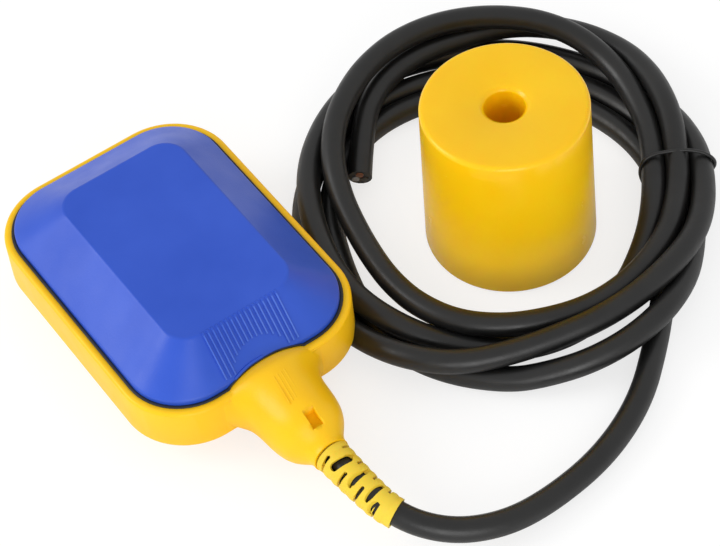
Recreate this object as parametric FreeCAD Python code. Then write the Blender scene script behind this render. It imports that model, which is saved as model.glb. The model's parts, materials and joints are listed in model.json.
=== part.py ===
import FreeCAD, Part
import math
import os
from FreeCAD import Vector

# Float level switch: a hollow two-part float with a rolling-ball switch inside, its cable with a
# strain relief, and the counterweight that belongs on the cable.
# Millimetres. +Z up, the cable leaves towards -Y, origin at the centre of the float's rest face.

# ---- float body ----
body_width = 80.0            # across X
body_length = 110.0          # along Y
body_corner = 22.0
float_height = 41.0          # rest face to top face
side_bottom = 10.0           # where the slanted underside meets the side wall
rim_top = 26.0
wall = 2.4
rest_width = 54.0
rest_length = 82.0
rest_corner = 11.0
rim_round = 1.3
underside_round = 2.0

# ---- cover ----
rim_width = 3.2              # band of the housing seen round the cover
cover_gap = 0.4              # gap between the rim and the cover
seat_depth = 3.2
ledge_width = 2.6
ledge_height = 3.0
skirt_height = 2.0           # upright edge of the cover above the rim
top_width = 44.0
top_length = 73.0
top_corner = 8.0
top_shift = -3.0             # the top face sits nearer the cable
cover_round = 1.2
seal_width = 1.2
seal_height = 0.9

# ---- grip ribs on the cover's slope towards the cable ----
rib_count = 17
rib_pitch = 1.64
rib_width = 0.8
rib_height = 0.35
rib_foot = 1.2               # up the slope from its lower edge
rib_arch_width = 19.4        # plain area above the neck
rib_arch_run = 8.3

# ---- neck: half widths and half heights of its oval sections, and how far out they stand ----
neck_axis = 18.0             # height of the cable's axis
neck_length = 31.0           # out from the end of the body
neck_inside = 4.1            # how far it runs back under the cover
neck_inside_rise = 11.0
neck_root_half = 17.6        # flared where it meets the body
neck_root_rise = 12.9
neck_flare_at = 3.4
neck_flare_half = 14.9
neck_flare_rise = 13.2
neck_middle_at = 12.4
neck_middle_half = 12.7
neck_middle_rise = 12.7
neck_shoulder_at = 22.0
neck_shoulder_half = 10.7
neck_shoulder_rise = 11.3
neck_cheek_at = 25.4
neck_cheek_half = 8.4
neck_cheek_rise = 8.9
neck_throat_at = 28.4
neck_throat_half = 6.5
neck_throat_rise = 6.6
neck_nose_radius = 6.1
pocket_width = 3.7
pocket_length = 6.9
pocket_deep = 9.2            # height of its floor above the cable's axis, near the body
pocket_shallow = 10.6        # and near the nose
pocket_back = 7.7            # from the nose to the pocket's middle
passage_inside = 8.0         # how far the cable's passage runs into the body

# ---- cable ----
cable_diameter = 8.0
cable_fit = 0.15             # radial room round the cable in its bores
core_diameter = 2.4
wire_diameter = 2.0
core_circle = 1.75           # radius on which the three cores lie
core_depth = 8.0             # how far the cores' holes run into the cut end
cable_inside = 20.0          # from the nose to where the sheath ends inside the neck
# the lead, from inside the neck to the coil
lead_points = [
    Vector(0, -66, neck_axis), Vector(0, -89.5, neck_axis), Vector(3.8, -111, 12.6),
    Vector(14.2, -124.4, 9.2), Vector(29.6, -131.5, 7.2), Vector(47.2, -131.8, 4.8), Vector(70.1, -128.4, 4.0),
    Vector(91.4, -119.1, 4.0), Vector(109, -104.5, 4.0),
]
# the free end, from the coil's inner side to the cut face
tail_points = [
    Vector(97, 30.5, 12.5), Vector(86.5, 23.0, 11.0), Vector(75.6, 9.0, 7.5),
]

# ---- strain relief ----
boot_plug_length = 9.0
boot_plug_radius = 5.1
boot_length = 27.0           # from the nose of the neck
boot_start_radius = 5.8
boot_end_radius = 5.0
boot_bulge = 0.22
boot_rings = 33              # sections of its lofted outside
slot_pitch = 6.6
slot_taper = 0.6             # their ends run to a point
first_slot_width = 2.2
first_slot_taper = 2.4
slot_width = 1.3
first_top_slot = 5.8
first_side_slot = 2.2
top_slot_count = 3
side_slot_count = 4
top_slot_span = 7.8
top_slot_reach = 3.6         # how near to the axis they reach
side_slot_span = 10.8
side_slot_reach = 2.3
side_slot_width = 0.9

# ---- cable gland in the neck ----
gland_radius = 7.4
gland_length = 9.0
gland_gap = 0.5              # between the boot's plug and the gland
clamp_length = 2.5
neck_passage_radius = 4.9

# ---- coil ----
coil_x = 107.0
coil_y = -27.0
tie_angle = 324.0            # direction of the tie from the coil's centre
coil_outer = [69.5, 66, 70, 74.5, 73, 67.5, 68, 72, 77, 80.5, 82.5, 73]
coil_inner = [45, 44, 43.5, 45.5, 47.5, 50.5, 50.5, 50, 54, 58, 55, 48]
coil_front_height = 23.5
coil_back_height = 16.0
coil_slope_angle = 241.0     # direction in which the coil is tallest
coil_edge_round = 5.0
coil_gap = 0.4               # between the coil and the float's side
tie_thickness = 1.0
tie_width = 2.2
tie_room = 2.0               # how far the tie's groove is cut beyond the coil's outside

# ---- counterweight ----
weight_x = 103.5
weight_y = -36.0
weight_diameter = 53.4       # at the top
weight_foot_diameter = 55.6
weight_height = 59.5
weight_bore = 13.0
weight_edge_round = 1.6
weight_lip_round = 1.8

# ---- rolling ball and its chamber ----
ball_diameter = 14.0
ball_clearance = 0.3
ball_start_y = -14.0
ball_travel = 18.0
ball_axis_z = 28.6
chamber_wall = 2.2
chamber_back_y = -31.0
cap_flange = 1.6
carrier_half = 15.0
carrier_length_front = 41.0
carrier_base_z = 6.4
carrier_base = 2.0
post_radius = 2.9
screw_radius = 1.25
screw_head_radius = 2.4
screw_head_height = 1.6
screw_inset = 2.9
screw_slot = 0.6             # driver slot's width, and its depth is a little more
screw_slot_depth = 0.8
screw_fit = 0.2              # round the shank in the carrier
screw_floor = 0.6            # left under the screw's end

# ---- lever ----
lever_width = 4.0
lever_thickness = 2.4
lever_pivot_y = -24.0
lever_tip_y = 21.0
lever_angle = 2.0            # swing, degrees
pin_diameter = 2.4
pin_fit = 0.05
hub_wall = 1.0
hub_drop = 0.5               # the hub sits lower than the bar's middle
lever_side_gap = 0.5
lever_room = 0.5             # under the hub
lever_slot_back = 3.0        # slot behind the pivot
lever_flat = 2.0             # level part of the lever past the ball's path

# ---- microswitch ----
switch_start_y = 15.5
switch_length = 19.8
switch_width = 6.4
switch_height = 9.4
switch_wall = 0.9
button_length = 2.4
button_width = 1.6
button_y = 18.0
button_gap = 0.2
button_inside = 1.2
button_fit = 0.08
button_spare = 0.4           # left above the case when the button is pressed
blade_thickness = 0.3
blade_width = 2.0
blade_gap = 0.6              # from the case's end wall
blade_lap = 2.0              # on the common terminal
terminal_thickness = 0.6
terminal_width = 2.8
terminal_inside = 4.0
terminal_out = 4.0
first_terminal = 0.12        # shares of the room in the case
terminal_step = 0.28
crimp_length = 5.0
crimp_wall = 0.4
crimp_gap = 0.4              # from the case

# ---- cores inside the float: how far they lie beside the carrier and how they turn back ----
core_beside = 3.0
core_beside_outer = 6.0
core_straight = 2.0          # straight on past the neck's inner end
core_spread = 9.0            # to where they start to part
core_level = 12.0            # and on to where they lie beside the carrier
core_turn_back = 11.0        # before the carrier's end
core_side_step = 3.0         # beside the terminal, where they turn back
core_turn = 0.45             # shares of the room behind the crimps
core_turn_outer = 0.57
core_turn_bulge = 0.32
core_part_share = 0.6        # of the way out, where the cores start to part
core_bend_share = 0.8        # and where they turn back
core_lift = 1.0

# ---- what follows from the sizes above ----
cable_radius = cable_diameter / 2
ball_radius = ball_diameter / 2
bore_radius = ball_radius + ball_clearance
coil_centre = Vector(coil_x, coil_y, 0)
neck_root_y = -body_length / 2
passage_inner_y = neck_root_y + passage_inside
neck_nose_y = neck_root_y - neck_length
bare_y = neck_nose_y + cable_inside
gland_start_y = neck_nose_y + boot_plug_length + gland_gap
pocket_y = neck_nose_y + pocket_back
cover_offset = rim_width + cover_gap
cover_bottom = rim_top - seat_depth
skirt_top = rim_top + skirt_height
channel_front_y = ball_start_y + ball_travel + ball_radius + ball_clearance
slope_run = (body_length - 2 * cover_offset) / 2 - (top_length / 2 - top_shift)
slope_angle = math.degrees(math.atan2(float_height - skirt_top, slope_run))


def outline(width, length, radius, z, y=0.0):
    # closed outline with round corners, square to X and Y
    a, b, r = width / 2, length / 2, radius
    k = r * (1 - math.sqrt(0.5))
    corners = [(a, b, 1, 1), (-a, b, -1, 1), (-a, -b, -1, -1), (a, -b, 1, -1)]
    ends = []
    for i, (cx, cy, sx, sy) in enumerate(corners):
        on_side = Vector(cx, cy - sy * r + y, z)
        on_end = Vector(cx - sx * r, cy + y, z)
        middle = Vector(cx - sx * k, cy - sy * k + y, z)
        first, last = (on_side, on_end) if i % 2 == 0 else (on_end, on_side)
        ends.append((first, middle, last))
    edges = []
    for i, (first, middle, last) in enumerate(ends):
        edges.append(Part.Arc(first, middle, last).toShape())
        edges.append(Part.LineSegment(last, ends[(i + 1) % 4][0]).toShape())
    return Part.Wire(edges)


def slab(width, length, radius, low, high):
    face = Part.Face(outline(width, length, radius, low))
    return face.extrude(Vector(0, 0, high - low))


def body_slab(inset, low, high):
    # a slice of the float's plan, pulled in by inset
    return slab(body_width - 2 * inset, body_length - 2 * inset, body_corner - inset, low, high)


def block(x0, x1, y0, y1, z0, z1):
    return Part.makeBox(x1 - x0, y1 - y0, z1 - z0, Vector(x0, y0, z0))


def rod_y(radius, y0, y1, x=0.0, z=0.0):
    return Part.makeCylinder(radius, y1 - y0, Vector(x, y0, z), Vector(0, 1, 0))


def rod_x(radius, x0, x1, y, z):
    return Part.makeCylinder(radius, x1 - x0, Vector(x0, y, z), Vector(1, 0, 0))


def rod_z(radius, x, y, z0, z1):
    return Part.makeCylinder(radius, z1 - z0, Vector(x, y, z0))


def round_edges(shape, radius, wanted):
    return shape.makeFillet(radius, [e for e in shape.Edges if wanted(e)])


def edge_height(edge):
    box = edge.BoundBox
    return (box.ZMin + box.ZMax) / 2 if box.ZLength < 1e-4 else None


def at_height(z):
    return lambda edge: edge_height(edge) is not None and abs(edge_height(edge) - z) < 1e-3


# ---- cable path: straight runs joined by arcs as large as the runs allow ----
def cord_path(points, report=None):
    edges = []
    start = points[0]
    for before, corner, after in zip(points, points[1:], points[2:]):
        back = (before - corner)
        ahead = (after - corner)
        turn = math.pi - back.getAngle(ahead)
        cut = 0.45 * min(back.Length, ahead.Length)
        radius = cut / math.tan(turn / 2)
        back.normalize()
        ahead.normalize()
        first = corner + back * cut
        last = corner + ahead * cut
        inward = back + ahead
        inward.normalize()
        middle = corner + inward * (radius / math.cos(turn / 2) - radius)
        edges.append(Part.LineSegment(start, first).toShape())
        edges.append(Part.Arc(first, middle, last).toShape())
        start = last
        if report:
            print("%s: bend radius %.1f" % (report, radius))
    edges.append(Part.LineSegment(start, points[-1]).toShape())
    return Part.Wire(edges)


def tube(path, radius):
    first = path.Edges[0]
    start = first.valueAt(first.FirstParameter)
    ring = Part.Wire([Part.makeCircle(radius, start, first.tangentAt(first.FirstParameter))])
    return path.makePipeShell([ring], True, False)


lead_path = cord_path(lead_points, "lead")
tail_path = cord_path(tail_points, "tail")


def path_frame(path, distance):
    # point and direction at a distance along a path
    left = distance
    for edge in path.Edges:
        if left <= edge.Length or edge is path.Edges[-1]:
            parameter = edge.getParameterByLength(left)
            return edge.valueAt(parameter), edge.tangentAt(parameter)
        left -= edge.Length


def lead_place(distance):
    # placement on the lead: local Z along the cable, local Y towards the top
    point, along = path_frame(lead_path, distance)
    across = along.cross(Vector(0, 0, 1))
    across.normalize()
    top = across.cross(along)
    turn = FreeCAD.Rotation(across * -1, top, along * -1, "ZXY")
    return FreeCAD.Placement(point, turn)


# ---- housing ----
def neck_section(y, half, rise):
    # the longer half axis is kept a hair longer, so that the round nose is an oval too
    ellipse = Part.Ellipse(Vector(0, y, neck_axis), max(half, rise) + 0.005, min(half, rise))
    edge = ellipse.toShape()
    edge.rotate(Vector(0, y, neck_axis), Vector(1, 0, 0), 90)
    if rise > half:
        edge.rotate(Vector(0, y, neck_axis), Vector(0, 1, 0), 90)
    return Part.Wire([edge])


def neck_form(grow=0.0):
    lines = [
        (-neck_inside - grow, neck_root_half, neck_inside_rise),
        (0, neck_root_half, neck_root_rise),
        (neck_flare_at, neck_flare_half, neck_flare_rise),
        (neck_middle_at, neck_middle_half, neck_middle_rise),
        (neck_shoulder_at, neck_shoulder_half, neck_shoulder_rise),
        (neck_cheek_at, neck_cheek_half, neck_cheek_rise),
        (neck_throat_at, neck_throat_half, neck_throat_rise),
        (neck_length, neck_nose_radius, neck_nose_radius),
    ]
    sections = [neck_section(neck_root_y - out, half + grow, rise + grow) for out, half, rise in lines]
    return Part.makeLoft(sections, True, False)


def neck_pocket():
    # its floor climbs towards the neck's surface as it nears the nose
    top = neck_axis + neck_root_rise
    near_body = pocket_y + pocket_length / 2
    near_nose = pocket_y - pocket_length / 2
    corners = [(near_body, top), (near_body, neck_axis + pocket_deep),
               (near_nose, neck_axis + pocket_shallow), (near_nose, top)]
    points = [Vector(-pocket_width / 2, y, z) for y, z in corners]
    side = Part.Face(Part.makePolygon(points + points[:1]))
    return side.extrude(Vector(pocket_width, 0, 0))


def neck_bores():
    gland_end = gland_start_y + gland_length + clamp_length
    bores = rod_y(boot_plug_radius, neck_nose_y, neck_nose_y + boot_plug_length, z=neck_axis)
    bores = bores.fuse(rod_y(neck_passage_radius, neck_nose_y, passage_inner_y, z=neck_axis))
    return bores.fuse(rod_y(gland_radius, gland_start_y, gland_end, z=neck_axis))


def screw_places():
    x = carrier_half - screw_inset
    for sx in (-1, 1):
        for y in (chamber_back_y + screw_inset, carrier_length_front - screw_inset):
            yield sx * x, y


def float_form(grow=0.0):
    # slanted underside and upright side wall, without the neck
    underside = Part.makeLoft([
        outline(rest_width + 2 * grow, rest_length + 2 * grow, rest_corner + grow, 0),
        outline(body_width + 2 * grow, body_length + 2 * grow, body_corner + grow, side_bottom)], True, True)
    return underside.fuse(body_slab(-grow, side_bottom, rim_top)).removeSplitter()


def housing():
    outer = float_form()
    outer = round_edges(outer, rim_round, at_height(rim_top))
    outer = round_edges(outer, underside_round, lambda e: at_height(side_bottom)(e) or at_height(0)(e))
    outer = outer.fuse(neck_form())
    slope = (body_width - rest_width) / 2 / side_bottom
    floor_inset = wall * (math.hypot(1, slope) - slope)
    hollow = Part.makeLoft([
        outline(rest_width - 2 * floor_inset, rest_length - 2 * floor_inset, rest_corner - floor_inset, wall),
        outline(body_width - 2 * wall, body_length - 2 * wall, body_corner - wall, side_bottom + wall / 2)],
        True, True)
    ledge_low = cover_bottom - ledge_height
    hollow = hollow.fuse(body_slab(wall, side_bottom + wall / 2, ledge_low))
    hollow = hollow.fuse(body_slab(rim_width + ledge_width, ledge_low, cover_bottom))
    seat = body_slab(rim_width, cover_bottom, float_height).cut(neck_form())
    shell = outer.cut(hollow).cut(seat)
    shell = shell.cut(neck_bores()).cut(neck_pocket()).cut(seal_ring())
    for x, y in screw_places():
        shell = shell.fuse(rod_z(post_radius, x, y, wall / 2, carrier_base_z))
        shell = shell.cut(rod_z(screw_radius, x, y, wall + screw_floor, carrier_base_z))
    return shell


def seal_ring():
    outside = rim_width + (ledge_width - seal_width) / 2
    ring = body_slab(outside, cover_bottom - seal_height, cover_bottom)
    return ring.cut(body_slab(outside + seal_width, cover_bottom - seal_height, cover_bottom))


# ---- cover ----
def cover_form(inset, top):
    # the cover's outside, or with an inset its hollow
    width = body_width - 2 * (cover_offset + inset)
    length = body_length - 2 * (cover_offset + inset)
    corner = body_corner - cover_offset - inset
    shrink = inset * math.tan(math.radians(slope_angle / 2))
    base = slab(width, length, corner, cover_bottom, skirt_top)
    low = outline(width, length, corner, skirt_top)
    high = outline(top_width - 2 * shrink, top_length - 2 * shrink, top_corner - shrink, top, top_shift)
    return base.fuse(Part.makeLoft([low, high], True, True)).removeSplitter()


def ribs():
    # thin upright ribs down the slope, shorter over the plain area above the neck
    foot_y = -(body_length / 2 - cover_offset)
    up = Vector(0, slope_run, float_height - skirt_top)
    up.normalize()
    length = math.hypot(slope_run, float_height - skirt_top)
    made = []
    for i in range(rib_count):
        x = (i - (rib_count - 1) / 2) * rib_pitch
        start = rib_foot
        if abs(x) < rib_arch_width / 2:
            start = max(start, rib_arch_run * math.sqrt(1 - (2 * x / rib_arch_width) ** 2))
        bar = Part.makeBox(rib_width, length - start, 2 * rib_height)
        bar.translate(Vector(x - rib_width / 2, start, -rib_height))
        bar.rotate(Vector(0, 0, 0), Vector(1, 0, 0), slope_angle)
        bar.translate(Vector(0, foot_y, skirt_top))
        made.append(bar)
    return made


def cover():
    outer = cover_form(0, float_height)
    outer = round_edges(outer, cover_round, lambda e: at_height(float_height)(e) or at_height(skirt_top)(e))
    shell = outer.cut(cover_form(wall, float_height - wall))
    shell = shell.fuse(ribs())
    return shell.cut(neck_form(cover_gap))


# ---- strain relief ----
def boot_radius(along):
    share = along / boot_length
    beat = math.cos(2 * math.pi * (along - first_side_slot) / (slot_pitch / 2))
    return boot_start_radius + (boot_end_radius - boot_start_radius) * share - boot_bulge * (1 + beat) / 2


def boot_slots(span, width, taper, inner, turn, along):
    # a pair of slots on opposite sides of the boot
    a, b = span / 2, width / 2
    corners = [(-a, 0), (taper - a, b), (a - taper, b), (a, 0), (a - taper, -b), (taper - a, -b)]
    points = [Vector(x, inner, z) for x, z in corners]
    slot = Part.Face(Part.makePolygon(points + points[:1])).extrude(Vector(0, boot_start_radius, 0))
    pair = slot.fuse(slot.mirror(Vector(0, 0, 0), Vector(0, 1, 0)))
    pair.rotate(Vector(0, 0, 0), Vector(0, 0, 1), turn)
    pair.Placement = lead_place(along).multiply(pair.Placement)
    return pair


def strain_relief():
    nose = lead_points[0].y - neck_nose_y
    rings = []
    for i in range(boot_rings):
        along = boot_length * i / (boot_rings - 1)
        point, direction = path_frame(lead_path, nose + along)
        rings.append(Part.Wire([Part.makeCircle(boot_radius(along), point, direction)]))
    body = Part.makeLoft(rings, True, False).cut(neck_form())
    plug = rod_y(boot_plug_radius, neck_nose_y, neck_nose_y + boot_plug_length, z=neck_axis)
    body = body.fuse(plug)
    body = body.cut(tube(lead_path, cable_radius + cable_fit))
    for i in range(top_slot_count):
        width, taper = (slot_width, slot_taper) if i else (first_slot_width, first_slot_taper)
        along = nose + first_top_slot + i * slot_pitch
        body = body.cut(boot_slots(top_slot_span, width, taper, top_slot_reach, 0, along))
    for i in range(side_slot_count):
        along = nose + first_side_slot + i * slot_pitch
        cutter = boot_slots(side_slot_span, side_slot_width, slot_taper, side_slot_reach, 90, along)
        body = body.cut(cutter)
    return body


# ---- gland ----
def ring_y(outer, inner, y0, y1):
    return rod_y(outer, y0, y1, z=neck_axis).cut(rod_y(inner, y0, y1, z=neck_axis))


def gland():
    return ring_y(gland_radius, cable_radius, gland_start_y, gland_start_y + gland_length)


def gland_washer():
    start = gland_start_y + gland_length
    return ring_y(gland_radius, cable_radius + cable_fit, start, start + clamp_length)


# ---- cable pieces ----
def core_places(axis_point, along):
    side = along.cross(Vector(0, 0, 1))
    side.normalize()
    up = side.cross(along)
    for i in range(3):
        a = math.radians(90 + 120 * i)
        yield axis_point + side * (core_circle * math.cos(a)) + up * (core_circle * math.sin(a))


def cable_tail():
    sheath = tube(tail_path, cable_radius)
    for core in tail_cores():
        sheath = sheath.cut(core)
    return sheath


def tail_cores():
    end = tail_points[-1]
    along = end - tail_points[-2]
    along.normalize()
    for place in core_places(end - along * core_depth, along):
        yield Part.makeCylinder(core_diameter / 2, core_depth, place, along)


def polar(angle, radius, z):
    a = math.radians(angle)
    return coil_centre + Vector(radius * math.cos(a), radius * math.sin(a), z)


def coil_outline(radii):
    count = len(radii)
    points = [polar(tie_angle + 360 * i / count, radii[i], 0) for i in range(count)]
    curve = Part.BSplineCurve()
    curve.interpolate(Points=points, PeriodicFlag=True)
    return Part.Face(Part.Wire([curve.toShape()]))


def cable_coil():
    tall = coil_front_height + 10
    ring = coil_outline(coil_outer).cut(coil_outline(coil_inner)).extrude(Vector(0, 0, tall))
    spread = 2 * max(coil_outer)
    tilt = math.degrees(math.atan2(coil_front_height - coil_back_height, spread))
    lid = Part.makeBox(3 * spread, 3 * spread, tall + 40, Vector(-1.5 * spread, -1.5 * spread, 0))
    lid.rotate(Vector(0, 0, 0), Vector(0, 1, 0), -tilt)
    lid.rotate(Vector(0, 0, 0), Vector(0, 0, 1), coil_slope_angle)
    lid.translate(coil_centre + Vector(0, 0, (coil_front_height + coil_back_height) / 2))
    ring = ring.cut(lid)
    return ring.makeFillet(coil_edge_round, ring.Edges)


def tie_ring(low_inset, high_inset):
    # a slice round the coil's section at the tie, between two insets from its outside
    middle = (coil_outer[0] + coil_inner[0]) / 2
    half = (coil_outer[0] - coil_inner[0]) / 2
    height = (coil_front_height + coil_back_height) / 2
    shapes = []
    for inset in (low_inset, high_inset):
        w = 2 * (half - inset)
        frame = outline(w, height - 2 * inset, coil_edge_round - inset, 0)
        solid = Part.Face(frame).extrude(Vector(0, 0, tie_width))
        solid.translate(Vector(0, 0, -tie_width / 2))
        solid.rotate(Vector(0, 0, 0), Vector(1, 0, 0), 90)
        solid.translate(Vector(middle, 0, height / 2))
        solid.rotate(Vector(0, 0, 0), Vector(0, 0, 1), tie_angle)
        solid.translate(coil_centre)
        shapes.append(solid)
    return shapes


def coil_tie():
    outside, inside = tie_ring(0.0, tie_thickness)
    return outside.cut(inside)


def tied_coil():
    coil = cable_coil().cut(float_form(coil_gap))
    outside, inside = tie_ring(-tie_room, tie_thickness)
    coil = coil.cut(outside.cut(inside))
    # the free end lies in a trough, open at the top
    for lift in (0, cable_radius, 2 * cable_radius):
        trough = cord_path([point + Vector(0, 0, lift) for point in tail_points])
        coil = coil.cut(tube(trough, cable_radius))
    return coil


# ---- counterweight ----
def counterweight():
    foot = Vector(weight_x, weight_y, 0)
    body = Part.makeCone(weight_foot_diameter / 2, weight_diameter / 2, weight_height, foot)
    body = round_edges(body, weight_edge_round, lambda e: edge_height(e) is not None)
    body = body.cut(rod_z(weight_bore / 2, weight_x, weight_y, 0, weight_height))
    def mouth(edge):
        return edge_height(edge) is not None and abs(edge.BoundBox.XLength - weight_bore) < 0.01
    return round_edges(body, weight_lip_round, mouth)


# ---- carrier with the ball's chamber ----
def lever_top(y):
    # the lever's upper face at rest, under the ball's path
    near = ball_start_y - lever_pivot_y
    far = near + ball_travel
    rise = far * lever_angle / (far - near)
    middle = (near + far) / 2
    highest = middle * math.radians(rise - lever_angle * (middle - near) / ball_travel)
    hinge_top = ball_axis_z - ball_radius - ball_clearance - highest
    return hinge_top + (y - lever_pivot_y) * math.tan(math.radians(rise))


lever_flat_y = ball_start_y + ball_travel + lever_flat
pin_z = lever_top(lever_pivot_y) - lever_thickness / 2
lever_under = lever_top(lever_flat_y) - lever_thickness
button_top = lever_under - button_gap
button_travel = (button_y - lever_pivot_y) * math.tan(math.radians(lever_angle))
switch_top = button_top - button_travel - button_spare
switch_bottom = switch_top - switch_height
carrier_floor = switch_bottom
slot_half = lever_width / 2 + lever_side_gap
hub_radius = lever_thickness / 2 + hub_wall
slot_low = pin_z - hub_drop - hub_radius - lever_room


def carrier():
    half = bore_radius + chamber_wall
    front = channel_front_y + chamber_wall
    base = block(-carrier_half, carrier_half, chamber_back_y, carrier_length_front, carrier_base_z, carrier_floor)
    tower = block(-half, half, chamber_back_y, front, carrier_floor, ball_axis_z)
    tower = tower.fuse(rod_y(half, chamber_back_y, front, z=ball_axis_z))
    made = base.fuse(tower)
    made = made.cut(rod_y(bore_radius, chamber_back_y, channel_front_y, z=ball_axis_z))
    # the lever's slot and its space below, open towards the microswitch
    slot_back = lever_pivot_y - lever_slot_back
    made = made.cut(block(-slot_half, slot_half, slot_back, front, slot_low, ball_axis_z))
    made = made.cut(rod_x(pin_diameter / 2, -half, half, lever_pivot_y, pin_z))
    # hollows that keep the walls even
    under = slot_low - chamber_wall
    made = made.cut(block(-half + chamber_wall, half - chamber_wall, chamber_back_y + chamber_wall,
                          channel_front_y, carrier_floor, under))
    for x, y in screw_places():
        made = made.cut(rod_z(screw_radius + screw_fit, x, y, carrier_base_z, carrier_floor))
    return made


def chamber_cap():
    half = bore_radius + chamber_wall
    plug_end = ball_start_y - ball_radius - ball_clearance
    cap = rod_y(half, chamber_back_y - cap_flange, chamber_back_y, z=ball_axis_z)
    cap = cap.fuse(rod_y(bore_radius, chamber_back_y, plug_end, z=ball_axis_z))
    cap = cap.cut(rod_y(bore_radius - chamber_wall, chamber_back_y, plug_end, z=ball_axis_z))
    return cap.cut(block(-slot_half, slot_half, lever_pivot_y - lever_slot_back, plug_end, 0, ball_axis_z))


def carrier_screws():
    made = []
    top = carrier_floor + screw_head_height
    for x, y in screw_places():
        shank = rod_z(screw_radius, x, y, wall + screw_floor, carrier_floor)
        head = rod_z(screw_head_radius, x, y, carrier_floor, top)
        slot = block(x - screw_head_radius, x + screw_head_radius, y - screw_slot / 2, y + screw_slot / 2,
                     top - screw_slot_depth, top)
        made.append(shank.fuse(head).cut(slot))
    return Part.makeCompound(made)


def lever():
    top = [lever_pivot_y, lever_flat_y, lever_tip_y]
    upper = [Vector(0, y, lever_top(min(y, lever_flat_y))) for y in top]
    lower = [Vector(0, p.y, p.z - lever_thickness) for p in reversed(upper)]
    side = Part.makePolygon(upper + lower + [upper[0]])
    bar = Part.Face(side).extrude(Vector(lever_width, 0, 0))
    bar.translate(Vector(-lever_width / 2, 0, 0))
    hub = rod_x(hub_radius, -lever_width / 2, lever_width / 2, lever_pivot_y, pin_z - hub_drop)
    bar = bar.fuse(hub)
    return bar.cut(rod_x(pin_diameter / 2 + pin_fit, -lever_width, lever_width, lever_pivot_y, pin_z))


def lever_pin():
    half = bore_radius + chamber_wall
    return rod_x(pin_diameter / 2, -half, half, lever_pivot_y, pin_z)


# ---- microswitch ----
def switch_case():
    half = switch_width / 2
    end = switch_start_y + switch_length
    case = block(-half, half, switch_start_y, end, switch_bottom, switch_top)
    case = case.cut(block(-half + switch_wall, half, switch_start_y + switch_wall, end - switch_wall,
                          switch_bottom + switch_wall, switch_top - switch_wall))
    case = case.cut(switch_button_form(button_fit))
    for terminal in terminals().values():
        case = case.cut(terminal)
    return case


def switch_lid():
    half = switch_width / 2
    end = switch_start_y + switch_length
    return block(half - switch_wall, half, switch_start_y + switch_wall, end - switch_wall,
                 switch_bottom + switch_wall, switch_top - switch_wall)


def switch_button_form(grow=0.0):
    x = -switch_wall / 2
    a = button_width / 2 + grow
    b = button_length / 2 + grow
    return block(x - a, x + a, button_y - b, button_y + b, switch_top - switch_wall - button_inside, button_top)


def terminals():
    # three blades through the end wall; the common one carries the moving blade
    end = switch_start_y + switch_length
    room = switch_height - 2 * switch_wall
    x = -switch_wall / 2
    half = terminal_width / 2
    made = {}
    for i, name in enumerate(("terminal_closed", "terminal_common", "terminal_open")):
        z = switch_bottom + switch_wall + room * (first_terminal + terminal_step * i)
        start = end - switch_wall - terminal_inside
        made[name] = block(x - half, x + half, start, end + terminal_out, z, z + terminal_thickness)
    return made


def contact_blade():
    # springy blade from the common terminal to a point below the button
    common = terminals()["terminal_common"].BoundBox
    x = (common.XMin + common.XMax) / 2
    return block(x - blade_width / 2, x + blade_width / 2, switch_start_y + switch_wall + blade_gap,
                 common.YMin + blade_lap, common.ZMax, common.ZMax + blade_thickness)


def crimps():
    made = []
    for terminal in terminals().values():
        box = terminal.BoundBox
        x = (box.XMin + box.XMax) / 2
        y0 = switch_start_y + switch_length + crimp_gap
        half = terminal_width / 2 + crimp_wall
        sleeve = block(x - half, x + half, y0, y0 + crimp_length, box.ZMin - crimp_wall, box.ZMax + crimp_wall)
        made.append(sleeve.cut(terminal))
    return Part.makeCompound(made)


def wires():
    # the three cores from the stripped sheath, beside the carrier, to the crimps:
    # name, place in the cable, terminal, side of the carrier, distance from it, turning point
    plan = [
        ("core_brown", 1, "terminal_closed", -1, core_beside, core_turn),
        ("core_black", 2, "terminal_common", 1, core_beside, core_turn),
        ("core_grey", 0, "terminal_open", -1, core_beside_outer, core_turn_outer),
    ]
    starts = list(core_places(lead_points[0], Vector(0, 1, 0)))
    end_y = switch_start_y + switch_length + crimp_gap + crimp_length
    room = body_length / 2 - wall - end_y
    parted_y = passage_inner_y - core_straight + core_spread
    back_y = carrier_length_front - core_turn_back
    made = {}
    for name, place, terminal, side, away, turn in plan:
        box = terminals()[terminal].BoundBox
        x = (box.XMin + box.XMax) / 2
        z = (box.ZMin + box.ZMax) / 2
        out = side * (carrier_half + away)
        first = starts[place]
        turn_y = end_y + turn * room
        points = [
            first, Vector(first.x, passage_inner_y - core_straight, first.z),
            Vector(out * core_part_share, parted_y, (first.z + z) / 2 + core_lift),
            Vector(out, parted_y + core_level, z + core_lift),
            Vector(out, back_y, z + core_lift / 2), Vector(out * core_bend_share, turn_y, z),
            Vector(x + side * core_side_step, turn_y + core_turn_bulge * room, z),
            Vector(x, turn_y, z), Vector(x, end_y, z)]
        made[name] = tube(cord_path(points), wire_diameter / 2)
    return made


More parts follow.
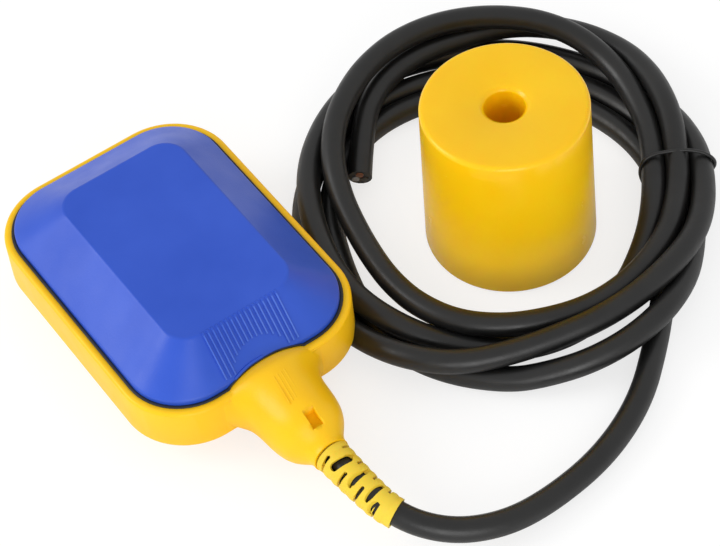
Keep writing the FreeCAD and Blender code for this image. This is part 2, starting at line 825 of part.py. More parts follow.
def build_parts():
    nodes = {
        "housing": housing(), "cover": cover(), "seal_ring": seal_ring(),
        "strain_relief": strain_relief(), "gland": gland(), "gland_washer": gland_washer(),
        "cable_lead": tube(lead_path, cable_radius), "cable_coil": tied_coil(),
        "cable_tail": cable_tail(), "coil_tie": coil_tie(), "counterweight": counterweight(),
        "carrier": carrier(), "chamber_cap": chamber_cap(), "carrier_screws": carrier_screws(),
        "ball": Part.makeSphere(ball_radius, Vector(0, ball_start_y, ball_axis_z)),
        "lever": lever(), "lever_pin": lever_pin(),
        "switch_case": switch_case(), "switch_lid": switch_lid(), "switch_button": switch_button_form(),
        "contact_blade": contact_blade(), "crimps": crimps(),
    }
    for i, core in enumerate(tail_cores()):
        nodes["tail_core_%d" % (i + 1)] = core
    nodes.update(terminals())
    nodes.update(wires())
    return nodes


os.makedirs("parts", exist_ok=True)
for name, shape in build_parts().items():
    shape.exportStep("parts/%s.step" % name)
    box = shape.BoundBox
    print("%-16s valid=%s solids=%d volume=%.0f x %.1f..%.1f y %.1f..%.1f z %.1f..%.1f" % (
        name, shape.isValid(), len(shape.Solids), shape.Volume,
        box.XMin, box.XMax, box.YMin, box.YMax, box.ZMin, box.ZMax))
section = math.pi * cable_radius ** 2
for name, path in (("lead", lead_path), ("tail", tail_path)):
    volume = tube(path, cable_radius).Volume
    print("%s length %.1f, volume / section x length %.4f" % (name, path.Length, volume / section / path.Length))
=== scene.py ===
import bpy
import bmesh
import json
import math
from mathutils import Matrix, Vector


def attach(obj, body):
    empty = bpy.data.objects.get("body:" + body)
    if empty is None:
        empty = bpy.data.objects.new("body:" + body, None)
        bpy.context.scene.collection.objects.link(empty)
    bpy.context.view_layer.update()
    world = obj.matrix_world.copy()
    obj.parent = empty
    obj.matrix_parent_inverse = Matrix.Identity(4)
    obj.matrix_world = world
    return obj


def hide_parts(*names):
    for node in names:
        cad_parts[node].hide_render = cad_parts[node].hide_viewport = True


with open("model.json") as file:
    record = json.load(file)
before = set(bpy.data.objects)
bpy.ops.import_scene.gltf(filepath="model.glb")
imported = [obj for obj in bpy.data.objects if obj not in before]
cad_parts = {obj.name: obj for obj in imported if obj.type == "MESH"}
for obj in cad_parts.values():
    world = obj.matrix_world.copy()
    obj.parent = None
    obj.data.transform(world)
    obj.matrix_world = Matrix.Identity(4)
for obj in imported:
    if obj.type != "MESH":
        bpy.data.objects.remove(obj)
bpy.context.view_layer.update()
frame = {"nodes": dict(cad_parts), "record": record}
print("frame loaded,", len(frame["nodes"]), "nodes")


def inMetres(points):
    return [Vector(p) / 1000 for p in points]


# the camera stands before the cable's exit and looks down on float and coil
cameraPlace = {"at": (-0.2246, -0.5162, 0.7038), "turn": (38.687, 4.365, -34.782), "lens": 140.0,
               "sensor": 36, "near": 0.05}


def placeCamera():
    data = bpy.data.cameras.new("camera")
    data.lens = cameraPlace["lens"]
    data.sensor_width = cameraPlace["sensor"]
    data.clip_start = cameraPlace["near"]
    camera = bpy.data.objects.new("camera", data)
    bpy.context.collection.objects.link(camera)
    camera.location = cameraPlace["at"]
    camera.rotation_euler = [math.radians(a) for a in cameraPlace["turn"]]
    bpy.context.scene.camera = camera


placeCamera()
print("camera placed")

# the cable in millimetres, from the boot through four and a half loose turns to its cut end
cable = {
    "diameter": 8.0,
    "lead": [
        (0, -66, 18), (0, -89.5, 18), (3.8, -111, 12.6), (14.2, -124.4, 9.2), (29.6, -131.5, 7.2),
        (47.2, -131.8, 4.8), (70.1, -128.4, 4), (91.4, -119.1, 4), (109, -104.5, 4),
    ],
    "centre": (107, -27),
    "turn": -29.35,
    # angle about the centre, distance from it, height
    "coil": [
        (311, 67.5, 4), (322, 61, 4), (336, 56.5, 4), (353, 53, 4), (15, 50.3, 4), (38, 47.8, 4),
        (62, 47.3, 4), (86, 48, 4), (110, 50, 4), (130, 53.1, 4), (147, 55.2, 4), (164, 56.4, 4),
        (182, 57, 4), (200, 58.5, 4), (216, 62.9, 4), (232, 69.3, 4), (248, 72.8, 4), (264, 75, 4.5),
        (274, 75.8, 7), (284, 77, 10), (295, 76.5, 12), (307, 74, 11.8), (319, 69.9, 9), (331, 65.5, 6),
        (344, 62.5, 4.2), (0, 60.3, 4), (18, 57.7, 4), (36, 55.8, 4), (54, 55.2, 4), (76, 55.5, 4),
        (100, 57, 4), (124, 60.6, 4), (146, 63.4, 4), (168, 65.5, 4), (188, 66.8, 4), (205, 70, 4),
        (217, 72.5, 5.5), (228, 75, 9), (240, 76.2, 11.5), (252, 74.8, 12), (264, 70.2, 12),
        (277, 67.1, 13), (290, 66.5, 14.5), (303, 65.7, 14.8), (315, 66.3, 16.3), (327, 66.5, 15),
        (338, 66, 13.2), (350, 65.2, 12), (2, 64.8, 11), (14, 64.3, 8.9), (26, 64, 6), (40, 63.7, 4.2),
        (56, 63.9, 4), (74, 65, 4), (90, 66.5, 4), (104, 67, 4.5), (117, 67.1, 6.8), (130, 66.5, 9.8),
        (143, 65.2, 11.8), (157, 64.2, 12), (170, 63.5, 12), (182, 62.8, 12), (194, 62.9, 12),
        (206, 64, 12), (218, 65.3, 12), (229, 66, 11.9), (240, 65.7, 9.9), (251, 64, 6.4),
        (263, 62.8, 4.2), (275, 61.9, 4), (287, 60, 4), (299, 56.8, 4), (310, 54, 4), (320, 52, 6),
        (331, 50.7, 8.8), (343, 49.5, 11.2), (355, 49.2, 12), (7, 50.7, 12), (19, 53.3, 12),
        (30, 55.7, 12.6), (40, 58.9, 13.5), (50, 61.6, 15.4), (60, 63.8, 17.8), (71, 65.1, 19.6),
        (82, 66, 20), (93, 66.8, 20), (104, 67, 20), (116, 66, 20), (128, 63.6, 20), (140, 60.8, 19.6),
        (152, 58.6, 18.3), (165, 55.8, 15.8), (179, 52.4, 13), (194, 50.4, 12), (209, 51.1, 12),
        (222, 53.6, 12), (235, 56.6, 12), (249, 59, 12), (263, 59.3, 12), (276, 59, 12), (289, 59, 11.6),
        (302, 58.5, 11.4), (315, 58.1, 12), (328, 57.8, 12.3), (340, 57, 12), (352, 57, 12.4),
        (4, 57.7, 14.2), (15, 59.8, 15.8), (26, 62.5, 15.8), (37, 66.1, 14.4), (48, 69.4, 12.2),
        (60, 71.4, 10.9), (72, 71.3, 11), (83, 69.1, 12), (95, 65.8, 12), (107, 64.1, 12.1),
        (118, 62, 12.3),
    ],
    "tail": [(97, 30.5, 12.5), (86.5, 23, 11), (73.9, 6.8, 7)],
    "stepsAlong": 10,
    "stepsRound": 6,
}


def coilPoint(angle, radius, height):
    a = math.radians(angle + cable["turn"])
    return (cable["centre"][0] + radius * math.cos(a), cable["centre"][1] + radius * math.sin(a), height)


def makeCable():
    points = inMetres(cable["lead"] + [coilPoint(*p) for p in cable["coil"]] + cable["tail"])
    curve = bpy.data.curves.new("cableLine", "CURVE")
    curve.dimensions = "3D"
    curve.resolution_u = cable["stepsAlong"]
    curve.bevel_depth = cable["diameter"] / 2000
    curve.bevel_resolution = cable["stepsRound"]
    curve.use_fill_caps = True
    line = curve.splines.new("NURBS")
    line.points.add(len(points) - 1)
    for point, place in zip(line.points, points):
        point.co = (*place, 1)
    line.use_endpoint_u = True
    line.order_u = 3
    piece = bpy.data.objects.new("cableSheath", curve)
    bpy.context.collection.objects.link(piece)
    return piece


cableSheath = makeCable()
cableLong = sum(s.calc_length() for s in cableSheath.data.splines)
print("cable made, %.3f m long" % cableLong)


def startFinish(name):
    finish = bpy.data.materials.new(name)
    finish.use_nodes = True
    return finish, finish.node_tree, finish.node_tree.nodes["Principled BSDF"]


def addNode(tree, kind, **settings):
    # each setting goes to the input of that name, or else to the node itself
    node = tree.nodes.new("ShaderNode" + kind)
    for key, value in settings.items():
        if key in node.inputs:
            node.inputs[key].default_value = value
        else:
            setattr(node, key, value)
    return node


def cloud(tree, spot, scale, detail=3.0, rough=0.55):
    noise = addNode(tree, "TexNoise", Scale=scale, Detail=detail, Roughness=rough)
    tree.links.new(spot, noise.inputs["Vector"])
    return noise.outputs["Fac"]


def ramp(tree, factor, stops):
    node = addNode(tree, "ValToRGB")
    for element, (place, value) in zip(node.color_ramp.elements, stops):
        element.position = place
        element.color = (*value, 1) if isinstance(value, tuple) else (value, value, value, 1)
    tree.links.new(factor, node.inputs["Fac"])
    return node.outputs["Color"]


def bump(tree, shader, height, depth, strength=1.0, under=None):
    node = addNode(tree, "Bump", Strength=strength, Distance=depth)
    tree.links.new(height, node.inputs["Height"])
    if under is not None:
        tree.links.new(under, node.inputs["Normal"])
    tree.links.new(node.outputs["Normal"], shader.inputs["Normal"])
    return node.outputs["Normal"]


# scale of each pattern, and depth of each relief in metres
plasticGrain = {"drift": 28, "polish": 90, "grain": 1500, "waves": 45, "waveDepth": 0.00025,
                "grainDepth": 0.00003}
rubberGrain = {"bloom": 60, "wear": 220, "pores": 1400, "poreDepth": 0.00002}
metalGrain = {"lines": (60, 2500, 2500), "stain": 160, "lineDepth": 0.00001}


def mouldedPlastic(name, look):
    # slow drifts of colour as in a thick moulding, a spark-eroded grain and a gloss that wanders
    finish, tree, shader = startFinish(name)
    spot = addNode(tree, "TexCoord").outputs["Object"]
    drift = cloud(tree, spot, plasticGrain["drift"], 3)
    colour = ramp(tree, drift, [(0.32, look["deep"]), (0.66, look["pale"])])
    tree.links.new(colour, shader.inputs["Base Color"])
    polish = cloud(tree, spot, plasticGrain["polish"], 4)
    low, high = look["rough"]
    tree.links.new(ramp(tree, polish, [(0.3, low), (0.7, high)]), shader.inputs["Roughness"])
    grain = cloud(tree, spot, plasticGrain["grain"], 2)
    waves = cloud(tree, spot, plasticGrain["waves"], 1)
    first = bump(tree, shader, waves, plasticGrain["waveDepth"])
    bump(tree, shader, grain, plasticGrain["grainDepth"], 1.0, first)
    shader.inputs["IOR"].default_value = 1.49
    shader.inputs["Specular IOR Level"].default_value = look.get("shine", 0.5)
    if "soft" in look:
        shader.inputs["Subsurface Weight"].default_value = look["soft"]
        shader.inputs["Subsurface Scale"].default_value = look.get("softReach", 0.002)
    return finish


def rubber(name, look):
    # extruded or moulded rubber with a faint bloom and fine pores
    finish, tree, shader = startFinish(name)
    spot = addNode(tree, "TexCoord").outputs["Object"]
    bloom = cloud(tree, spot, rubberGrain["bloom"], 5, 0.6)
    colour = ramp(tree, bloom, [(0.3, look["deep"]), (0.75, look["pale"])])
    tree.links.new(colour, shader.inputs["Base Color"])
    wear = cloud(tree, spot, rubberGrain["wear"], 4)
    low, high = look["rough"]
    tree.links.new(ramp(tree, wear, [(0.3, low), (0.72, high)]), shader.inputs["Roughness"])
    pores = addNode(tree, "TexVoronoi", Scale=rubberGrain["pores"])
    tree.links.new(spot, pores.inputs["Vector"])
    bump(tree, shader, pores.outputs["Distance"], rubberGrain["poreDepth"], 0.6)
    shader.inputs["IOR"].default_value = 1.5
    return finish


def metal(name, look):
    # drawn or pressed metal, its scratches running one way
    finish, tree, shader = startFinish(name)
    spot = addNode(tree, "TexCoord").outputs["Object"]
    stretch = addNode(tree, "Mapping", Scale=metalGrain["lines"])
    tree.links.new(spot, stretch.inputs["Vector"])
    lines = cloud(tree, stretch.outputs["Vector"], 1.0, 4)
    stain = cloud(tree, spot, metalGrain["stain"], 4)
    colour = ramp(tree, stain, [(0.3, look["deep"]), (0.7, look["pale"])])
    tree.links.new(colour, shader.inputs["Base Color"])
    low, high = look["rough"]
    tree.links.new(ramp(tree, lines, [(0.3, low), (0.7, high)]), shader.inputs["Roughness"])
    bump(tree, shader, lines, look.get("lineDepth", metalGrain["lineDepth"]), 0.5)
    shader.inputs["Metallic"].default_value = 1.0
    return finish


finishes = {
    "yellow_housing": mouldedPlastic("yellowHousing", {
        "deep": (0.95, 0.52, 0.002), "pale": (0.98, 0.575, 0.008), "rough": (0.30, 0.42), "soft": 0.06,
        "shine": 0.3}),
    "yellow_relief": mouldedPlastic("yellowRelief", {
        "deep": (0.80, 0.54, 0.028), "pale": (0.86, 0.61, 0.05), "rough": (0.42, 0.55), "soft": 0.1,
        "shine": 0.3}),
    "blue_cover": mouldedPlastic("blueCover", {
        "deep": (0.020, 0.078, 0.52), "pale": (0.030, 0.096, 0.58), "rough": (0.30, 0.42), "shine": 0.35}),
    # the ribs' crests, painted a paler blue as a highlight along their edges
    "highlight_blue": mouldedPlastic("highlightBlue", {
        "deep": (0.038, 0.115, 0.58), "pale": (0.085, 0.185, 0.70), "rough": (0.28, 0.4), "shine": 0.4}),
    "orange_weight": mouldedPlastic("orangeWeight", {
        "deep": (0.98, 0.545, 0.001), "pale": (1.0, 0.59, 0.006), "rough": (0.18, 0.28), "soft": 0.35,
        "softReach": 0.008, "shine": 0.35}),
    "white_nylon": mouldedPlastic("whiteNylon", {
        "deep": (0.70, 0.69, 0.64), "pale": (0.82, 0.81, 0.77), "rough": (0.38, 0.5), "soft": 0.15}),
    "black_case": mouldedPlastic("blackCase", {
        "deep": (0.018, 0.018, 0.02), "pale": (0.035, 0.035, 0.038), "rough": (0.3, 0.45)}),
    "red_button": mouldedPlastic("redButton", {
        "deep": (0.5, 0.025, 0.02), "pale": (0.62, 0.045, 0.035), "rough": (0.25, 0.35)}),
    "tie_black": mouldedPlastic("tieBlack", {
        "deep": (0.008, 0.008, 0.008), "pale": (0.018, 0.018, 0.018), "rough": (0.35, 0.5)}),
    "seal_rubber": rubber("sealRubber", {
        "deep": (0.008, 0.009, 0.014), "pale": (0.02, 0.022, 0.03), "rough": (0.5, 0.7)}),
    "cable_sheath": rubber("cableRubber", {
        "deep": (0.0055, 0.0055, 0.0055), "pale": (0.0105, 0.0104, 0.0100), "rough": (0.32, 0.46)}),
    "core_brown": rubber("coreBrown", {
        "deep": (0.13, 0.045, 0.02), "pale": (0.19, 0.07, 0.035), "rough": (0.35, 0.5)}),
    "core_black": rubber("coreBlack", {
        "deep": (0.01, 0.01, 0.01), "pale": (0.025, 0.025, 0.025), "rough": (0.35, 0.5)}),
    "core_grey": rubber("coreGrey", {
        "deep": (0.2, 0.2, 0.21), "pale": (0.3, 0.3, 0.31), "rough": (0.35, 0.5)}),
    "screw_steel": metal("screwZinc", {
        "deep": (0.5, 0.5, 0.53), "pale": (0.68, 0.68, 0.7), "rough": (0.25, 0.42)}),
    "ball_steel": metal("ballSteel", {
        "deep": (0.7, 0.7, 0.72), "pale": (0.8, 0.8, 0.82), "rough": (0.05, 0.12), "lineDepth": 0.000002}),
    "lever_steel": metal("leverSteel", {
        "deep": (0.5, 0.5, 0.52), "pale": (0.66, 0.66, 0.68), "rough": (0.22, 0.4)}),
    "contact_brass": metal("contactBrass", {
        "deep": (0.6, 0.4, 0.14), "pale": (0.78, 0.56, 0.24), "rough": (0.2, 0.36)}),
}
for sub in frame["record"]["subparts"]:
    for place in frame["nodes"][sub["node"]].material_slots:
        place.material = finishes[sub["material_slot"]]
print("finishes made,", len(finishes))

cableSheath.data.materials.append(finishes["cable_sheath"])
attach(cableSheath, "root")
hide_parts("cable_lead", "cable_coil", "cable_tail")


def takeUp(piece):
    # this piece alone is selected, and active
    bpy.ops.object.select_all(action="DESELECT")
    piece.select_set(True)
    bpy.context.view_layer.objects.active = piece


def endPiece(name, slot, stands=(), smooth=40, finish=None):
    # place into the mesh, then finish, body and slot; smooth is in degrees
    piece = bpy.context.active_object
    piece.name = name
    bpy.ops.object.transform_apply(location=True, rotation=True, scale=True)
    bpy.ops.object.shade_smooth_by_angle(angle=math.radians(smooth))
    piece.data.materials.clear()
    piece.data.materials.append(finishes[finish or slot])
    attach(piece, "root")
    if stands:
        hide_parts(*stands)
    return piece


def selectEdges(test):
    # in edit mode, the edges whose two ends pass the test
    bpy.ops.mesh.select_all(action="DESELECT")
    work = bmesh.from_edit_mesh(bpy.context.active_object.data)
    for edge in work.edges:
        if test(edge.verts[0].co, edge.verts[1].co):
            edge.select = True
    work.select_flush_mode()
    bmesh.update_edit_mesh(bpy.context.active_object.data)


def mergedCopy(node):
    # a CAD node's mesh is loose triangles, so a copy of it is joined up before it is cut
    piece = bpy.data.objects.new(node + "Copy", frame["nodes"][node].data.copy())
    bpy.context.collection.objects.link(piece)
    takeUp(piece)
    bpy.ops.object.mode_set(mode="EDIT")
    bpy.ops.mesh.select_all(action="SELECT")
    bpy.ops.mesh.remove_doubles(threshold=0.000004)
    bpy.ops.object.mode_set(mode="OBJECT")
    return piece


def cutAway(piece, cutters):
    takeUp(piece)
    for cutter in cutters:
        cut = piece.modifiers.new("cut", "BOOLEAN")
        cut.operation = "DIFFERENCE"
        cut.solver = "MANIFOLD"
        cut.object = cutter
        bpy.ops.object.modifier_apply(modifier=cut.name)
        bpy.data.objects.remove(cutter)


# slots of the boot, opened to their moulded width: two ends on its surface, width, depth below them
bootSlots = {
    "top": [
        ((-3.8, -91.6, 20.0), (3.5, -92.7, 21.6), 2.7, 1.5),
        ((-2.8, -99.2, 18.8), (4.2, -99.1, 20.4), 1.45, 1.4),
        ((-1.3, -105.7, 17.3), (5.8, -104.6, 18.5), 1.45, 1.4),
    ],
    "side": [
        ((-4.8, -88.6, 19.0), (-2.1, -88.3, 22.2), 0.95, 1.1),
        ((-4.2, -95.7, 17.5), (-0.9, -96.1, 21.2), 1.2, 1.2),
        ((-2.9, -102.3, 16.5), (0.5, -102.5, 19.9), 1.2, 1.2),
        ((-1.7, -107.7, 14.0), (1.4, -108.4, 18.0), 1.2, 1.2),
    ],
    # the cable's line inside the boot
    "line": [(0.46, -85.98, 17.35), (0.79, -90.94, 16.88), (1.27, -95.87, 16.2), (1.98, -100.71, 15.18),
             (3.08, -105.44, 13.99), (4.65, -110.04, 12.84)],
    "above": 3,
    "cornerShare": 0.47,
    "cornerSteps": 4,
}


def slotCutter(first, second, width, depth):
    # a block with rounded upright corners, laid along the slot and turned to stand out from the cable's line
    first, second = inMetres([first, second])
    middle = (first + second) / 2
    core = min(inMetres(bootSlots["line"]), key=lambda p: abs(p.y - middle.y))
    along = (second - first).normalized()
    out = middle - core
    out = (out - along * out.dot(along)).normalized()
    above = bootSlots["above"]
    bpy.ops.object.select_all(action="DESELECT")
    bpy.ops.mesh.primitive_cube_add(size=1)
    cutter = bpy.context.active_object
    cutter.scale = ((second - first).length, width / 1000, (depth + above) / 1000)
    cutter.location = (0, 0, (above - depth) / 2000)
    bpy.ops.object.transform_apply(location=True, rotation=True, scale=True)
    bpy.ops.object.mode_set(mode="EDIT")
    selectEdges(lambda a, b: abs(a.z - b.z) > 0.001)
    bpy.ops.mesh.bevel(offset=width / 1000 * bootSlots["cornerShare"], segments=bootSlots["cornerSteps"],
                       affect="EDGES")
    bpy.ops.object.mode_set(mode="OBJECT")
    turn = Matrix((along, out.cross(along), out)).transposed().to_4x4()
    cutter.data.transform(Matrix.Translation(middle) @ turn)
    return cutter


boot = mergedCopy("strain_relief")
cutAway(boot, [slotCutter(*slot) for slot in bootSlots["top"] + bootSlots["side"]])
endPiece("slottedBoot", "yellow_relief", ("strain_relief",), 35)
print("boot slots opened")

# the keeper's pocket in the neck runs out towards the nose
pocket = {"half": 1.85, "back": -74.85, "front": -80.5, "floorBack": 26.3, "floorFront": 25.75, "top": 33}


def pocketCutter():
    # a block whose floor falls towards the nose
    middle = (0, (pocket["back"] + pocket["front"]) / 2, (pocket["top"] + pocket["floorBack"]) / 2)
    size = (pocket["half"] * 2, pocket["back"] - pocket["front"], pocket["top"] - pocket["floorBack"])
    middle, size = inMetres([middle, size])
    bpy.ops.object.select_all(action="DESELECT")
    bpy.ops.mesh.primitive_cube_add(size=1, location=middle, scale=size)
    bpy.ops.object.transform_apply(location=True, rotation=True, scale=True)
    bpy.ops.object.mode_set(mode="EDIT")
    selectEdges(lambda a, b: max(a.y, b.y) < middle.y and max(a.z, b.z) < middle.z)
    bpy.ops.transform.translate(value=(0, 0, (pocket["floorFront"] - pocket["floorBack"]) / 1000))
    bpy.ops.object.mode_set(mode="OBJECT")
    return bpy.context.active_object


housing = mergedCopy("housing")
cutAway(housing, [pocketCutter()])
endPiece("housingBody", "yellow_housing", ("housing",), 35)
print("pocket cut")

# the weight's bore has a softened mouth: radius below and above, and depth of each step
boreMouth = {"centre": (103.5, -36.0), "top": 59.5, "steps": [(6.5, 8.0, 1.3), (7.4, 8.4, 0.4)], "sides": 96,
             "runOn": 1.2}


def mouthCutter(low, high, deep):
    # a cone that opens upwards and runs on above the top face
    runOn = boreMouth["runOn"]
    rise = deep * runOn
    middle = (*boreMouth["centre"], boreMouth["top"] - deep + rise / 2)
    bpy.ops.object.select_all(action="DESELECT")
    bpy.ops.mesh.primitive_cone_add(vertices=boreMouth["sides"], radius1=low / 1000,
                                    radius2=(low + (high - low) * runOn) / 1000, depth=rise / 1000,
                                    end_fill_type="NGON", location=inMetres([middle])[0])
    bpy.ops.object.transform_apply(location=True, rotation=True, scale=True)
    return bpy.context.active_object


weight = mergedCopy("counterweight")
cutAway(weight, [mouthCutter(*step) for step in boreMouth["steps"]])
endPiece("mouldedWeight", "orange_weight", ("counterweight",), 50)
print("bore mouth softened")

# three cores show in the cut end of the cable
cutEnd = {"reach": 1.75, "radius": 1.3, "long": 4.0, "proud": 0.35, "round": 0.2, "sides": 32,
          "cores": ["core_brown", "core_black", "core_grey"]}


def makeCore(number, slot):
    end, before = inMetres([cable["tail"][-1], cable["tail"][-2]])
    ahead = (end - before).normalized()
    side = ahead.cross(Vector((0, 0, 1))).normalized()
    angle = math.radians(90 + 120 * number)
    spot = end + (side * math.cos(angle) + side.cross(ahead) * math.sin(angle)) * cutEnd["reach"] / 1000
    long = cutEnd["long"] / 1000
    bpy.ops.object.select_all(action="DESELECT")
    bpy.ops.mesh.primitive_cylinder_add(vertices=cutEnd["sides"], radius=cutEnd["radius"] / 1000, depth=long)
    core = bpy.context.active_object
    bpy.ops.object.mode_set(mode="EDIT")
    selectEdges(lambda a, b: min(a.z, b.z) > long / 2 - 0.0001)
    bpy.ops.mesh.bevel(offset=cutEnd["round"] / 1000, segments=2, affect="EDGES")
    bpy.ops.object.mode_set(mode="OBJECT")
    turn = ahead.to_track_quat("Z", "Y").to_matrix().to_4x4()
    core.data.transform(Matrix.Translation(spot + ahead * (cutEnd["proud"] / 1000 - long / 2)) @ turn)
    return endPiece("cutCore%d" % (number + 1), slot, ("tail_core_%d" % (number + 1),), 30)


for number, slot in enumerate(cutEnd["cores"]):
    makeCore(number, slot)
print("cut end made")

# a dark bead in the gap between rim and cover, in the seal's rubber finish: its black is painted shade of
# the groove
gapShadeBead = {"half": (40.0, 55.0), "corner": 22.0, "outer": 2.45, "width": 1.1, "low": 25.7, "high": 26.35,
            "cornerSteps": 14, "round": 0.3, "roundSteps": 3}


def makeGapShadeBead():
    wide, long = (h - gapShadeBead["outer"] for h in gapShadeBead["half"])
    bpy.ops.object.select_all(action="DESELECT")
    bpy.ops.mesh.primitive_plane_add(size=2, location=(0, 0, gapShadeBead["low"] / 1000))
    bpy.context.active_object.scale = (wide / 1000, long / 1000, 1)
    bpy.ops.object.transform_apply(location=True, rotation=True, scale=True)
    bpy.ops.object.mode_set(mode="EDIT")
    bpy.ops.mesh.select_all(action="SELECT")
    bpy.ops.mesh.bevel(offset=(gapShadeBead["corner"] - gapShadeBead["outer"]) / 1000, offset_type="OFFSET",
                       segments=gapShadeBead["cornerSteps"], affect="VERTICES")
    bpy.ops.mesh.select_all(action="SELECT")
    bpy.ops.mesh.inset(thickness=gapShadeBead["width"] / 1000, depth=0)
    bpy.ops.mesh.delete(type="FACE")
    bpy.ops.mesh.select_all(action="SELECT")
    bpy.ops.mesh.extrude_region_move(
        TRANSFORM_OT_translate={"value": (0, 0, (gapShadeBead["high"] - gapShadeBead["low"]) / 1000)})
    bpy.ops.mesh.select_all(action="SELECT")
    bpy.ops.mesh.normals_make_consistent(inside=False)
    top = gapShadeBead["high"] / 1000 - 0.00001
    selectEdges(lambda a, b: min(a.z, b.z) > top)
    bpy.ops.mesh.bevel(offset=gapShadeBead["round"] / 1000, segments=gapShadeBead["roundSteps"], affect="EDGES")
    bpy.ops.object.mode_set(mode="OBJECT")
    # the bead's dark rubber stands in for the shade in the groove
    return endPiece("gapShadeBead", "seal_rubber")


makeGapShadeBead()
print("seal bead laid")


def drawnRod(name, slot, points, thick, closed=False, stands=()):
    # a thin round trim drawn along given points
    bpy.ops.object.select_all(action="DESELECT")
    bpy.ops.curve.primitive_nurbs_path_add(location=(0, 0, 0))
    rod = bpy.context.active_object
    line = rod.data.splines[0]
    line.points.add(len(points) - len(line.points))
    for point, place in zip(line.points, inMetres(points)):
        point.co = (*place, 1)
    line.use_endpoint_u = not closed
    line.use_cyclic_u = closed
    line.order_u = 3
    rod.data.resolution_u = 6
    rod.data.bevel_depth = thick / 2000
    rod.data.bevel_resolution = 3
    rod.data.use_fill_caps = not closed
    bpy.ops.object.convert(target="MESH")
    return endPiece(name, slot, stands)


# the wire that holds the coil, pulled over the upper strands and under the lower ones
tieWire = {
    "thick": 1.25,
    "points": [(145.0, -50.9, 9.0), (145.3, -50.8, 13.0), (146.4, -51.1, 16.0), (149.8, -52.0, 17.1),
               (154.1, -53.8, 17.0), (158.8, -56.6, 17.0), (162.3, -59.9, 16.6), (164.5, -62.2, 15.2),
               (165.9, -63.6, 12.6), (165.6, -63.4, 9.4), (163.6, -61.4, 5.6), (162.0, -60.0, 1.4),
               (156.0, -56.0, 0.9), (150.0, -53.2, 0.9), (146.6, -51.8, 2.6)],
}
drawnRod("coilWire", "tie_black", tieWire["points"], tieWire["thick"], True, ("coil_tie",))

# the arch over the neck: a dark rod in the gap as painted shade, and the moulded lip beside it
arch = {
    "gapThick": 0.6,
    "gap": [(-13.6, -51.9, 26.3), (-11.2, -51.7, 27.5), (-8.6, -51.35, 28.35), (-4.8, -50.75, 29.0),
            (0, -50.7, 29.03), (4.8, -50.75, 29.0), (8.6, -51.35, 28.35), (11.2, -51.7, 27.5),
            (13.6, -51.9, 26.3)],
    "lipThick": 1.1,
    "lip": [(-10.6, -51.2, 27.9), (-8.9, -50.95, 28.6), (-6.7, -50.6, 29.1), (-4.4, -50.25, 29.35),
            (-2.0, -50.15, 29.4), (0.3, -50.1, 29.35)],
}
# a dark rod in the seal's rubber finish, painted shade in the gap over the neck
drawnRod("archGapShade", "seal_rubber", arch["gap"], arch["gapThick"])
drawnRod("archLip", "blue_cover", arch["lip"], arch["lipThick"])
print("tie and arch made")

# crests on the moulded ribs of the slope, and four low lines on top of the neck
crestRound = {"offset": 0.28, "steps": 3}
ribCrests = {"count": 17, "pitch": 1.64, "width": 0.45, "proud": 0.72, "foot": 1.2, "archHalf": 9.7,
             "archRun": 8.3, "end": 16.8, "slope": 47.5, "from": (-51.4, 28.0)}
neckLines = {"starts": [(-1.7, -59.6, 31.08), (-0.35, -59.4, 31.15), (1.0, -59.2, 31.13),
                        (2.35, -59.0, 30.99)],
             "run": 11.2, "fall": 3.2, "swing": -8.0, "width": 0.45, "proud": 0.12}


def modelCrest():
    # one ridge along +y from the origin, a unit long, wide and high, with its top and ends rounded
    bpy.ops.object.select_all(action="DESELECT")
    bpy.ops.mesh.primitive_cube_add(size=1, location=(0, 0.5, 0))
    bpy.ops.object.transform_apply(location=True, rotation=True, scale=True)
    bpy.ops.object.mode_set(mode="EDIT")
    selectEdges(lambda a, b: min(a.z, b.z) > 0.4)
    bpy.ops.mesh.bevel(offset=crestRound["offset"], segments=crestRound["steps"], affect="EDGES",
                       clamp_overlap=True)
    bpy.ops.object.mode_set(mode="OBJECT")
    return bpy.context.active_object


def layCrest(model, start, run, width, proud, turn):
    # half of the model lies below the surface, so it is twice as high as it stands proud
    copy = bpy.data.objects.new("crest", model.data.copy())
    bpy.context.collection.objects.link(copy)
    start, size = inMetres([start, (width, run, proud * 2)])
    copy.data.transform(Matrix.Translation(start) @ turn @ Matrix.Diagonal((*size, 1)))
    return copy


def joinCrests(copies, name, slot, finish=None):
    takeUp(copies[0])
    for copy in copies:
        copy.select_set(True)
    bpy.ops.object.join()
    return endPiece(name, slot, (), 50, finish)


def makeRibCrests(model):
    # the middle ribs start at the arch over the neck, the others at the slope's foot
    slope = math.radians(ribCrests["slope"])
    copies = []
    for number in range(ribCrests["count"]):
        x = (number - (ribCrests["count"] - 1) / 2) * ribCrests["pitch"]
        share = 1 - (x / ribCrests["archHalf"]) ** 2
        start = max(ribCrests["foot"], ribCrests["archRun"] * math.sqrt(max(share, 0)))
        y = ribCrests["from"][0] + start * math.cos(slope)
        z = ribCrests["from"][1] + start * math.sin(slope)
        copies.append(layCrest(model, (x, y, z), ribCrests["end"] - start, ribCrests["width"],
                               ribCrests["proud"], Matrix.Rotation(slope, 4, "X")))
    # the crests take the paler blue, a painted highlight on the ribs
    return joinCrests(copies, "ribCrests", "blue_cover", "highlight_blue")


def makeNeckLines(model):
    # they run from the body towards the nose, so the ridge is turned round
    lean = Matrix.Rotation(math.radians(180 + neckLines["swing"]), 4, "Z")
    fall = Matrix.Rotation(math.radians(-neckLines["fall"]), 4, "X")
    copies = [layCrest(model, start, neckLines["run"], neckLines["width"], neckLines["proud"], lean @ fall)
              for start in neckLines["starts"]]
    return joinCrests(copies, "neckLines", "yellow_housing")


crest = modelCrest()
makeRibCrests(crest)
makeNeckLines(crest)
bpy.data.objects.remove(crest)
print("ribs and neck lines made")

# the floor keeps the shadows, and shows white where the light is full
stage = {"size": 8, "bounce": 0.95, "rough": 0.9, "seen": 0.32, "lift": 0.72}


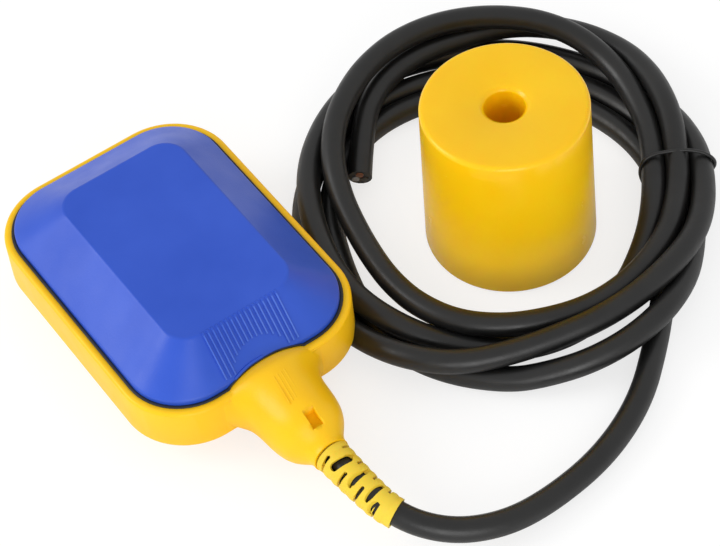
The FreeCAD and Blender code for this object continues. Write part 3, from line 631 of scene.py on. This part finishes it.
def makeFloor():
    bpy.ops.object.select_all(action="DESELECT")
    bpy.ops.mesh.primitive_plane_add(size=stage["size"], location=(0, 0, 0))
    floor = bpy.context.active_object
    floor.name = "floor"
    paint, tree, shader = startFinish("floorPaint")
    shader.inputs["Base Color"].default_value = (stage["bounce"],) * 3 + (1,)
    shader.inputs["Roughness"].default_value = stage["rough"]
    seen = addNode(tree, "BsdfDiffuse", Color=(stage["seen"],) * 3 + (1,))
    lift = addNode(tree, "Emission", Color=(1, 1, 1, 1), Strength=stage["lift"])
    both = addNode(tree, "AddShader")
    pick = addNode(tree, "MixShader")
    rays = addNode(tree, "LightPath")
    tree.links.new(seen.outputs[0], both.inputs[0])
    tree.links.new(lift.outputs[0], both.inputs[1])
    tree.links.new(rays.outputs["Is Camera Ray"], pick.inputs[0])
    tree.links.new(shader.outputs[0], pick.inputs[1])
    tree.links.new(both.outputs[0], pick.inputs[2])
    tree.links.new(pick.outputs[0], tree.nodes["Material Output"].inputs["Surface"])
    floor.data.materials.append(paint)


# the world's strength on the object, and two soft boxes in metres and watts
lights = {"world": 0.73, "aim": (0.05, -0.03, 0), "boxSize": 0.8,
          "leftBox": {"at": (-0.95, 0.62, 0.75), "power": 7.0},
          "frontBox": {"at": (-0.5, -1.1, 0.45), "power": 5.3}}


def lightWorld():
    # white where it is seen, dimmer where it lights the object
    world = bpy.data.worlds.new("studio")
    bpy.context.scene.world = world
    world.use_nodes = True
    tree = world.node_tree
    background = tree.nodes["Background"]
    background.inputs["Color"].default_value = (1, 1, 1, 1)
    rays = addNode(tree, "LightPath")
    level = addNode(tree, "MapRange", **{"To Min": lights["world"], "To Max": 1.0})
    tree.links.new(rays.outputs["Is Camera Ray"], level.inputs["Value"])
    tree.links.new(level.outputs[0], background.inputs["Strength"])


def softBox(name):
    place = Vector(lights[name]["at"])
    data = bpy.data.lights.new(name, "AREA")
    data.shape = "DISK"
    data.size = lights["boxSize"]
    data.energy = lights[name]["power"]
    lamp = bpy.data.objects.new(name, data)
    bpy.context.collection.objects.link(lamp)
    lamp.location = place
    lamp.rotation_euler = (Vector(lights["aim"]) - place).to_track_quat("-Z", "Y").to_euler()


makeFloor()
lightWorld()
softBox("leftBox")
softBox("frontBox")
bpy.context.scene.view_settings.view_transform = "Standard"
print("floor and lights placed")
